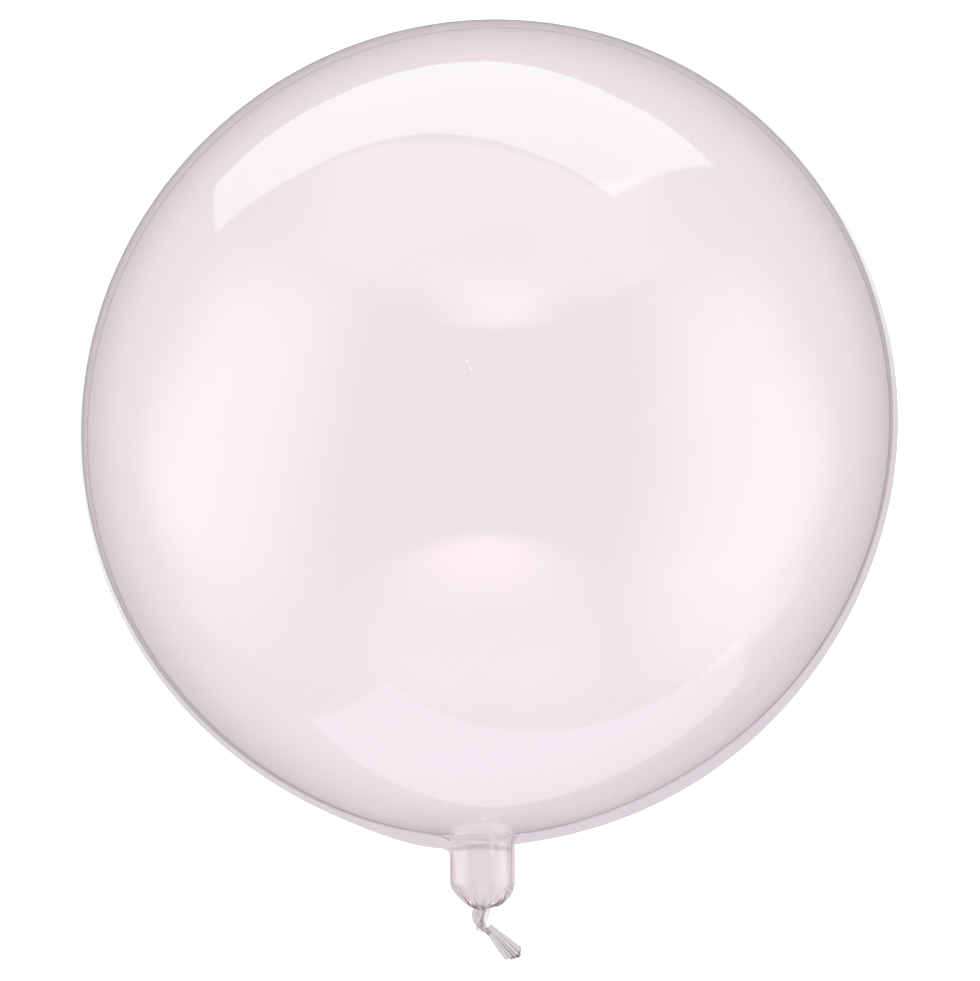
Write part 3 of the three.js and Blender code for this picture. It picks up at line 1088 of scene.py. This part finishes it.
def film_group() -> bpy.types.NodeTree:
    """Shader group for the unevenness of blown-up film.

    It puts out a height for a Bump node, from a broad ripple, and a haze mask that drifts slowly over the
    surface.

    Returns:
        The node group.
    """
    tree = bpy.data.node_groups.new("uneven_film", "ShaderNodeTree")
    tree.interface.new_socket("Ripple Scale", in_out="INPUT", socket_type=NUMBER_SOCKET)
    tree.interface.new_socket("Height", in_out="OUTPUT", socket_type=NUMBER_SOCKET)
    tree.interface.new_socket("Haze", in_out="OUTPUT", socket_type=NUMBER_SOCKET)
    nodes, links = tree.nodes, tree.links
    entry, leave = nodes.new("NodeGroupInput"), nodes.new("NodeGroupOutput")
    place = nodes.new("ShaderNodeTexCoord")
    ripple, haze = nodes.new("ShaderNodeTexNoise"), nodes.new("ShaderNodeTexNoise")
    set_inputs(ripple, {"Detail": 1.0})
    set_inputs(haze, {"Detail": 3.0, "Scale": 9.0})
    for noise, name in ((ripple, "Height"), (haze, "Haze")):
        links.new(place.outputs["Object"], noise.inputs["Vector"])
        links.new(noise.outputs["Fac"], leave.inputs[name])
    links.new(entry.outputs["Ripple Scale"], ripple.inputs["Scale"])
    return tree


@dataclass(frozen=True)
class FilmFinish:
    """See-through stretch film with a faint pink tint.

    Attributes:
        name: Name of the material.
        colour: Colour that light keeps on its way through one film.
        slack: The same where the film was stretched less, as down the neck.
        crease: Colour where it is folded on itself or welded: the deeper tint of doubled or welded film,
            darkened further as painted shade in folds and creases.
        low_rough: Roughness where the film is clearest.
        high_rough: Roughness where it is haziest.
        ior: How strongly the film bends light. A thin film bends it hardly at all.
        gloss: Weight of its gloss.
        gloss_ior: Strength of the gloss, which stands for both faces of the thin film.
        bump: Height of its unevenness, in metres.
        ripple: Scale of its broad ripple.
        haze: Values of the haze mask at which the film is clearest and haziest.
    """

    name: str
    colour: tuple[float, float, float]
    slack: tuple[float, float, float]
    crease: tuple[float, float, float]
    low_rough: float = 0.0
    high_rough: float = 0.01
    ior: float = 1.01
    gloss: float = 1.0
    gloss_ior: float = 1.75
    bump: float = 0.00004
    ripple: float = 20.0
    haze: tuple[float, float] = (0.35, 0.7)

    def build(self, group: bpy.types.NodeTree) -> bpy.types.Material:
        """Makes the material.

        Args:
            group: The shader group for uneven film.

        Returns:
            The finished material.
        """
        material = bpy.data.materials.new(self.name)
        material.use_nodes = True
        nodes, links = material.node_tree.nodes, material.node_tree.links
        shader = nodes["Principled BSDF"]
        set_inputs(shader, {
            "Metallic": 0.0,
            "Transmission Weight": 1.0,
            "IOR": self.ior,
            "Coat Weight": self.gloss,
            "Coat Roughness": self.low_rough,
            "Coat IOR": self.gloss_ior,
        })
        colour = self.blend(nodes, links, "slack", self.colour, self.slack)
        # The crease mark lays painted shade in folds and creases, and the welds' darker line, into the base
        # colour.
        colour = self.blend(nodes, links, "crease", colour, self.crease)
        links.new(colour, shader.inputs["Base Color"])
        uneven = nodes.new("ShaderNodeGroup")
        uneven.node_tree = group
        set_inputs(uneven, {"Ripple Scale": self.ripple})
        rough = nodes.new("ShaderNodeMapRange")
        set_inputs(rough, {
            "From Min": self.haze[0],
            "From Max": self.haze[1],
            "To Min": self.low_rough,
            "To Max": self.high_rough,
        })
        links.new(uneven.outputs["Haze"], rough.inputs["Value"])
        links.new(rough.outputs["Result"], shader.inputs["Roughness"])
        bump = nodes.new("ShaderNodeBump")
        set_inputs(bump, {"Strength": 1.0, "Distance": self.bump})
        links.new(uneven.outputs["Height"], bump.inputs["Height"])
        links.new(bump.outputs["Normal"], shader.inputs["Normal"])
        return material

    @staticmethod
    def blend(
        nodes: bpy.types.Nodes,
        links: bpy.types.NodeLinks,
        mark: str,
        start: bpy.types.NodeSocket | tuple[float, float, float],
        end: tuple[float, float, float],
    ) -> bpy.types.NodeSocket:
        """Adds nodes that turn one colour into another where a mark on the mesh rises to one.

        Args:
            nodes: The material's nodes.
            links: The material's links.
            mark: Name of the mark.
            start: Colour at nought, or the socket that gives it.
            end: Colour at one.

        Returns:
            The socket with the blended colour.
        """
        reader = nodes.new("ShaderNodeAttribute")
        reader.attribute_name = mark
        factor, low, high, result = colour_mix(nodes)
        if isinstance(start, tuple):
            low.default_value = (*start, 1.0)
        else:
            links.new(start, low)
        high.default_value = (*end, 1.0)
        links.new(reader.outputs["Fac"], factor)
        return result


SLACK = (0.835, 0.775, 0.805)
# Crease colour of the knot and tail: doubled film's deeper tint together with painted shade in its folds.
FOLDED_AND_SHADED = (0.48, 0.44, 0.46)
# The clear film's crease colour is painted shade along its creases and folds, and the welds' own darker line
# at the neck's seams.
CLEAR_FILM = FilmFinish("clear_film", (0.933, 0.872, 0.903), SLACK, (0.52, 0.45, 0.49))
WELD_FILM = FilmFinish(
    "weld_film",
    (0.985, 0.965, 0.975),
    (0.72, 0.64, 0.69),
    # Crease colour: the weld's darker bead, and painted shade on the crumpled rim.
    (0.30, 0.26, 0.28),
    low_rough=0.02,
    high_rough=0.08,
    bump=0.0001,
)
GATHERED_FILM = FilmFinish(
    "gathered_film",
    (0.60, 0.57, 0.58),
    SLACK,
    FOLDED_AND_SHADED,
    low_rough=0.05,
    high_rough=0.2,
    bump=0.0003,
    ripple=300.0,
)
CUT_FILM = replace(
    GATHERED_FILM,
    name="cut_film",
    colour=(0.66, 0.63, 0.64),
    low_rough=0.03,
    high_rough=0.15,
    bump=0.0002,
)


# The studio


Pixel = tuple[float, float]


@dataclass(frozen=True)
class Camera:
    """The camera above the lying balloon, at the photograph's viewing angle.

    Attributes:
        distance: Metres from the middle of the globe.
        tilt: How far it stands off the line straight above the globe.
        bearing: To which side it stands, from +X towards +Y.
        focal_px: Focal length in pixels of the image.
        target_px: Pixel at which the middle of the globe shows.
        clip: Nearest and farthest distance that it sees.
    """

    distance: float = 1.8
    tilt: float = math.radians(4.1)
    bearing: float = math.radians(-66)
    focal_px: float = 3631.0
    target_px: Pixel = (487.4, 426.2)
    clip: tuple[float, float] = (0.01, 50.0)

    def outward(self) -> Array:
        """Direction from the middle of the globe to the camera."""
        level = math.sin(self.tilt)
        return np.array([level * math.cos(self.bearing), level * math.sin(self.bearing), math.cos(self.tilt)])

    def slopes(self, pixel: Pixel) -> tuple[float, float]:
        """How far to the right of the camera's line and above it a pixel's line of sight runs, per metre."""
        width, height = IMAGE_SIZE
        return (pixel[0] - width / 2) / self.focal_px, (height / 2 - pixel[1]) / self.focal_px

    def axes(self) -> Array:
        """The camera's right, up and back directions, one row each.

        Back is the direction outward, turned so that the middle of the globe falls on its pixel. Up is as
        near to +Y as it can be.
        """
        out = self.outward()
        up = unit(np.array([0.0, 1.0, 0.0]) - out * out[1])
        to_right, above = self.slopes(self.target_px)
        back = unit(out + up * above + np.cross(up, out) * to_right)
        right = unit(np.cross(up, back))
        return np.array([right, np.cross(back, right), back])

    def sight(self, pixel: Pixel) -> Array:
        """Direction in which the camera looks through a pixel."""
        right, up, back = self.axes()
        to_right, above = self.slopes(pixel)
        return unit(right * to_right + up * above - back)

    def build(self, form: EnvelopeForm) -> bpy.types.Object:
        """Makes the camera.

        Args:
            form: The envelope's sizes.

        Returns:
            The camera object, set as the scene's own.
        """
        data = bpy.data.cameras.new("camera")
        data.sensor_width = SENSOR_WIDTH_MM
        data.lens = self.focal_px * SENSOR_WIDTH_MM / max(IMAGE_SIZE)
        data.clip_start, data.clip_end = self.clip
        camera = bpy.data.objects.new("camera", data)
        place = Vector((0.0, 0.0, form.middle)) + Vector(self.outward()) * self.distance
        camera.matrix_world = Matrix.Translation(place) @ Matrix(self.axes()).transposed().to_4x4()
        bpy.context.scene.collection.objects.link(camera)
        bpy.context.scene.camera = camera
        return camera


class Face(Enum):
    """Faces of the film that a panel shows in."""

    OUTER = "the near half's outer face"
    INNER = "the far half's inner face, seen through the near half"


@dataclass(frozen=True)
class GlobeMirror:
    """The globe as a round mirror, which tells where a thing stands that shows at a pixel of the image.

    Attributes:
        camera: The camera that looks at it.
        form: The envelope's sizes.
        reach: Distance from the middle of the globe at which the thing stands.
    """

    camera: Camera
    form: EnvelopeForm
    reach: float

    @staticmethod
    def meeting(start: Array, ray: Array, radius: float, far: bool) -> Array:
        """Place where a line meets a ball round nought: the nearer or the farther root of a quadratic.

        Args:
            start: Where the line starts.
            ray: Its direction, of length one.
            radius: The ball's radius.
            far: Whether the farther place is meant.

        Returns:
            The place.
        """
        half = start @ ray
        root = math.sqrt(half**2 - start @ start + radius**2)
        return start + ray * ((root if far else -root) - half)

    def place(self, pixel: Pixel, face: Face) -> Array:
        """Place of the thing: the line of sight meets the film, turns as at a mirror and runs to the reach.

        Args:
            pixel: Where it shows.
            face: The face that shows it.

        Returns:
            The place.
        """
        ray = self.camera.sight(pixel)
        eye = self.camera.outward() * self.camera.distance
        spot = self.meeting(eye, ray, self.form.radius, face is Face.INNER)
        normal = unit(spot)
        ray = ray - 2.0 * (ray @ normal) * normal
        return self.meeting(spot, ray, self.reach, True) + np.array([0.0, 0.0, self.form.middle])


@dataclass(frozen=True)
class Panel:
    """A far soft light that shows in the film but lights nothing else.

    Attributes:
        name: Name of the panel.
        face: The face of the film that it shows in.
        low: Pixels at which its lower edge shows in the photograph's view.
        high: Pixels at which its upper edge shows, as many.
        light: Colour and strength that it adds to the surroundings.
        fades: Shares of its width and height over which it fades in, from the start and the end of its edges
            and from its lower and its upper edge.
        start_level: Strength at its start edge, as a share of that from the level's end onwards.
        level_end: Share of its width at which it reaches its full strength.
    """

    name: str
    face: Face
    low: tuple[Pixel, ...]
    high: tuple[Pixel, ...]
    light: tuple[float, float, float]
    fades: tuple[float, float, float, float] = (0.02, 0.02, 0.03, 0.03)
    start_level: float = 1.0
    level_end: float = 0.4

    def build(self, mirror: GlobeMirror) -> bpy.types.Object:
        """Makes the panel as a stage mesh whose glow fades towards its edges.

        Args:
            mirror: The globe as a mirror, which tells where the panel's corners stand.

        Returns:
            The panel.
        """
        count = len(self.low)
        points = [mirror.place(pixel, self.face).tolist() for pixel in (*self.low, *self.high)]
        faces = [(i, i + 1, count + i + 1, count + i) for i in range(count - 1)]
        mesh = bpy.data.meshes.new(self.name)
        mesh.from_pydata(points, [], faces)
        share = np.arange(2 * count) % count / (count - 1)
        across = np.stack([share, np.arange(2 * count) // count], axis=-1)
        uv = mesh.uv_layers.new(name="across")
        uv.data.foreach_set("uv", across[np.array(faces).ravel()].astype(np.float32).ravel())
        mesh.materials.append(self.glow())
        panel = bpy.data.objects.new(self.name, mesh)
        bpy.context.scene.collection.objects.link(panel)
        panel.visible_camera = False
        panel.visible_diffuse = False
        panel.visible_shadow = False
        panel.visible_glossy = self.face is Face.OUTER
        panel.visible_transmission = self.face is Face.INNER
        return panel

    def glow(self) -> bpy.types.Material:
        """The panel's light: what is behind it, plus its own, which rises smoothly from each edge."""
        material = bpy.data.materials.new(self.name)
        material.use_nodes = True
        material.cycles.emission_sampling = "NONE"
        nodes, links = material.node_tree.nodes, material.node_tree.links
        nodes.clear()
        place = nodes.new("ShaderNodeUVMap")
        place.uv_map = "across"
        split = nodes.new("ShaderNodeSeparateXYZ")
        links.new(place.outputs["UV"], split.inputs["Vector"])
        level = nodes.new("ShaderNodeMapRange")
        set_inputs(level, {"From Max": self.level_end, "To Min": self.start_level})
        links.new(split.outputs["X"], level.inputs["Value"])
        strength = level.outputs["Result"]
        for (axis, edge), fade in zip((("X", 0.0), ("X", 1.0), ("Y", 0.0), ("Y", 1.0)), self.fades):
            rise = nodes.new("ShaderNodeMapRange")
            rise.interpolation_type = "SMOOTHSTEP"
            set_inputs(rise, {"From Min": edge, "From Max": edge + (fade if edge == 0.0 else -fade)})
            links.new(split.outputs[axis], rise.inputs["Value"])
            both = nodes.new("ShaderNodeMath")
            both.operation = "MULTIPLY"
            links.new(strength, both.inputs[0])
            links.new(rise.outputs["Result"], both.inputs[1])
            strength = both.outputs["Value"]
        light = nodes.new("ShaderNodeEmission")
        light.inputs["Color"].default_value = (*self.light, 1.0)
        links.new(strength, light.inputs["Strength"])
        clear = nodes.new("ShaderNodeBsdfTransparent")
        total = nodes.new("ShaderNodeAddShader")
        links.new(light.outputs["Emission"], total.inputs[0])
        links.new(clear.outputs["BSDF"], total.inputs[1])
        output = nodes.new("ShaderNodeOutputMaterial")
        links.new(total.outputs["Shader"], output.inputs["Surface"])
        return material


GLINT_WIDTH_PX = 3.5
GLINT_HEIGHT_PX = 4.5
GLINT_FADES = (0.3, 0.3, 0.3, 0.3)


def glint(name: str, face: Face, left: float, low: float, light: float) -> Panel:
    """A tiny upright panel, like a small lamp far off.

    Args:
        name: Name of the glint.
        face: The face of the film that it shows in. On the inner one it stands on its head.
        left: Pixel column of its left edge.
        low: Pixel row of its lower edge.
        light: Its strength.

    Returns:
        The panel.
    """
    right = left + GLINT_WIDTH_PX
    high = low + (-GLINT_HEIGHT_PX if face is Face.OUTER else GLINT_HEIGHT_PX)
    low_edge, high_edge = ((left, low), (right, low)), ((left, high), (right, high))
    return Panel(name, face, low_edge, high_edge, (light, light, light), GLINT_FADES)


PANELS = (
    Panel(
        "crown_panel",
        Face.OUTER,
        low=((209, 186), (330, 95), (493, 61), (610, 97), (715, 172)),
        high=((211, 234), (300, 171), (421, 134), (530, 156), (612, 202)),
        light=(0.79, 1.30, 1.15),
        start_level=0.74,
    ),
    Panel(
        "crown_panel_inside",
        Face.INNER,
        low=((307, 712), (400, 776), (509, 799), (640, 766), (757, 668)),
        high=((389, 675), (448, 709), (532, 727), (640, 711), (749, 632)),
        light=(0.58, 1.02, 0.91),
        fades=(0.02, 0.05, 0.03, 0.03),
    ),
    Panel(
        "high_panel",
        Face.OUTER,
        low=((412, 322), (455, 331), (495, 333), (535, 331), (578, 322)),
        high=((412, 258), (455, 258), (495, 258), (535, 258), (578, 258)),
        light=(1.0, 1.0, 1.0),
        fades=(0.45, 0.45, 0.12, 0.85),
    ),
    Panel(
        "high_panel_inside",
        Face.INNER,
        low=((390, 546), (437, 531), (485, 527), (533, 531), (580, 546)),
        high=((390, 620), (437, 620), (485, 620), (533, 620), (580, 620)),
        light=(1.8, 1.8, 1.8),
        fades=(0.45, 0.45, 0.16, 0.8),
    ),
    Panel(
        "high_skirt",
        Face.OUTER,
        low=((275, 262), (395, 315), (495, 336), (595, 315), (715, 262)),
        high=((285, 180), (400, 138), (495, 143), (590, 182), (690, 180)),
        light=(0.66, 0.66, 0.66),
        fades=(0.2, 0.2, 0.24, 0.09),
    ),
    Panel(
        "high_skirt_inside",
        Face.INNER,
        low=((330, 580), (400, 545), (485, 525), (570, 545), (640, 580)),
        high=((335, 680), (400, 700), (485, 725), (570, 725), (640, 690)),
        light=(0.95, 0.95, 0.95),
        fades=(0.35, 0.35, 0.12, 0.35),
    ),
    Panel(
        "left_panel",
        Face.OUTER,
        low=((215, 218), (165, 320), (128, 440), (155, 560), (212, 652)),
        high=((400, 200), (396, 320), (372, 440), (358, 560), (352, 680)),
        light=(1.32, 1.32, 1.32),
        fades=(0.36, 0.5, 0.42, 0.48),
    ),
    Panel(
        "right_panel",
        Face.OUTER,
        low=((760, 226), (812, 330), (848, 440), (822, 560), (752, 664)),
        high=((612, 190), (608, 320), (614, 440), (596, 560), (572, 690)),
        light=(1.30, 1.30, 1.30),
        fades=(0.4, 0.3, 0.42, 0.48),
    ),
    glint("upper_glint", Face.OUTER, 465.0, 363.5, 2.4),
    glint("lower_glint", Face.OUTER, 468.5, 371.0, 2.4),
    glint("upper_glint_inside", Face.INNER, 504.0, 491.0, 5.0),
    glint("lower_glint_inside", Face.INNER, 507.5, 498.0, 5.0),
)


@dataclass(frozen=True)
class Studio:
    """Plain pale floor, white surroundings that the film mirrors greyer, and far soft panels.

    Attributes:
        floor_half: Half the floor's side.
        floor_drop: How far the floor lies below the balloon.
        floor_colour: Its paleness.
        floor_glow: Light that it gives by itself.
        panel_reach: Distance of the panels from the middle of the globe.
        floor_rough: Its roughness.
        mirrored: Light of the surroundings as the film mirrors them, from straight below to straight above,
            at even steps of height.
    """

    floor_half: float = 20.0
    floor_drop: float = 0.0003
    floor_colour: float = 0.80
    floor_glow: float = 0.75
    floor_rough: float = 0.9
    panel_reach: float = 4.0
    mirrored: tuple[float, ...] = (0.40, 0.35, 0.70, 0.90, 0.95, 0.92, 0.86, 0.78, 0.75)

    def floor(self) -> None:
        """Makes the floor: a matt pale sheet that glows a little, as a lit backdrop does."""
        half, low = self.floor_half, -self.floor_drop
        mesh = bpy.data.meshes.new("floor")
        corners = [(-half, -half, low), (half, -half, low), (half, half, low), (-half, half, low)]
        mesh.from_pydata(corners, [], [(0, 1, 2, 3)])
        material = bpy.data.materials.new("floor")
        material.use_nodes = True
        material.cycles.emission_sampling = "NONE"
        shader = material.node_tree.nodes["Principled BSDF"]
        shader.inputs["Base Color"].default_value = (*[self.floor_colour] * 3, 1.0)
        shader.inputs["Emission Color"].default_value = WHITE
        set_inputs(shader, {"Roughness": self.floor_rough, "Specular IOR Level": 0.0})
        set_inputs(shader, {"Emission Strength": self.floor_glow})
        mesh.materials.append(material)
        floor = bpy.data.objects.new("floor", mesh)
        bpy.context.scene.collection.objects.link(floor)
        floor.visible_glossy = False
        floor.visible_transmission = False

    def surroundings(self) -> None:
        """Makes the surroundings: white, and for mirrored light a smooth run of greys with height."""
        world = bpy.data.worlds.new("surroundings")
        world.use_nodes = True
        world.cycles.sampling_method = "NONE"
        nodes, links = world.node_tree.nodes, world.node_tree.links
        place = nodes.new("ShaderNodeTexCoord")
        split = nodes.new("ShaderNodeSeparateXYZ")
        links.new(place.outputs["Generated"], split.inputs["Vector"])
        height = nodes.new("ShaderNodeMapRange")
        set_inputs(height, {"From Min": -1.0})
        links.new(split.outputs["Z"], height.inputs["Value"])
        greys = nodes.new("ShaderNodeValToRGB")
        ramp = greys.color_ramp.elements
        steps = len(self.mirrored) - 1
        for step, light in enumerate(self.mirrored):
            stop = ramp[0] if step == 0 else ramp[-1] if step == steps else ramp.new(step / steps)
            stop.position = step / steps
            stop.color = (light, light, light, 1.0)
        links.new(height.outputs["Result"], greys.inputs["Fac"])
        ray = nodes.new("ShaderNodeLightPath")
        factor, plain, seen, result = colour_mix(nodes)
        plain.default_value = WHITE
        mirrored = nodes.new("ShaderNodeMath")
        mirrored.operation = "SUBTRACT"
        mirrored.use_clamp = True
        links.new(ray.outputs["Is Glossy Ray"], mirrored.inputs[0])
        links.new(ray.outputs["Is Transmission Ray"], mirrored.inputs[1])
        links.new(mirrored.outputs["Value"], factor)
        links.new(greys.outputs["Color"], seen)
        links.new(result, nodes["Background"].inputs["Color"])
        bpy.context.scene.world = world

    def build(self, camera: Camera, form: EnvelopeForm) -> None:
        """Makes the whole studio round the globe.

        Args:
            camera: The camera that the panels are placed for.
            form: The envelope's sizes.
        """
        self.floor()
        self.surroundings()
        mirror = GlobeMirror(camera, form, self.panel_reach)
        for panel in PANELS:
            panel.build(mirror)


def main() -> None:
    logging.basicConfig(level=logging.INFO, format="%(name)s %(message)s")
    bpy.context.scene.view_settings.view_transform = "Standard"
    form = EnvelopeForm.from_frame()
    camera = Camera()
    camera.build(form)
    group = film_group()
    skin = FilmSkin(form)
    skin.build(CLEAR_FILM.build(group), replace(CLEAR_FILM, name="clear_film_inner", gloss=0.0).build(group))
    WeldLip(form, skin).build(WELD_FILM.build(group))
    knot = Knot(form)
    wrapped = replace(GATHERED_FILM, name="wrapped_film", colour=(0.93, 0.91, 0.92))
    knot.build(GATHERED_FILM.build(group), wrapped.build(group))
    Tail(form, knot).build(CUT_FILM.build(group))
    Studio().build(camera, form)


if __name__ == "__main__":
    main()
